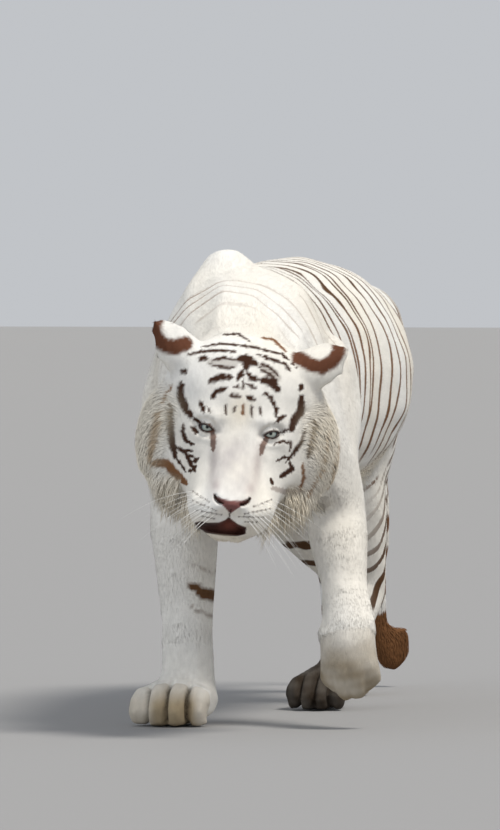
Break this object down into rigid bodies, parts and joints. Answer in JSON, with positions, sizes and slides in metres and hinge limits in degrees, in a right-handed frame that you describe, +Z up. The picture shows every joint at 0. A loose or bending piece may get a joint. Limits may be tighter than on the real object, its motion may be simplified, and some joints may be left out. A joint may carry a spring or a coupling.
{
  "type": "white tiger model",
  "caption": "Life-size model of a white tiger in mid-stride, head low and looking ahead, one forepaw lifted, tail hanging with a curled tip.",
  "frame": {"origin": "on the floor, under the middle of the box that holds the whole tiger", "axes": "+Z up, the tiger walks and looks towards -Y, its left side is towards +X"},
  "size_m": [0.5508, 2.0804, 0.9696],
  "materials": {
    "fur": "short dense white fur with dark brown stripes",
    "dark_fur": "short dense dark brown fur",
    "nose_leather": "fine grained, slightly damp",
    "eye": "polished pale blue glass eye"
  },
  "bodies": {
    "root": {"head": "fur", "jaw": "fur", "muzzle": "fur", "neck": "fur", "chest": "fur", "ribcage": "fur", "loin": "fur", "rump": "fur", "tail_root": "fur", "tail_upper": "fur", "tail_middle": "fur", "tail_lower": "fur", "left_ear": "fur", "left_shoulder": "fur", "left_upper_arm": "fur", "left_forearm": "fur", "left_fore_paw": "fur", "left_fore_toes": "fur", "left_thigh": "fur", "left_shank": "fur", "left_hind_cannon": "fur", "left_hind_paw": "fur", "left_hind_toes": "fur", "right_ear": "fur", "right_shoulder": "fur", "right_upper_arm": "fur", "right_forearm": "fur", "right_fore_paw": "fur", "right_fore_toes": "fur", "right_thigh": "fur", "right_shank": "fur", "right_hind_cannon": "fur", "right_hind_paw": "fur", "right_hind_toes": "fur", "tail_tip": "dark_fur", "nose": "nose_leather", "left_eye": "eye", "right_eye": "eye"}
  },
  "joints": []
}
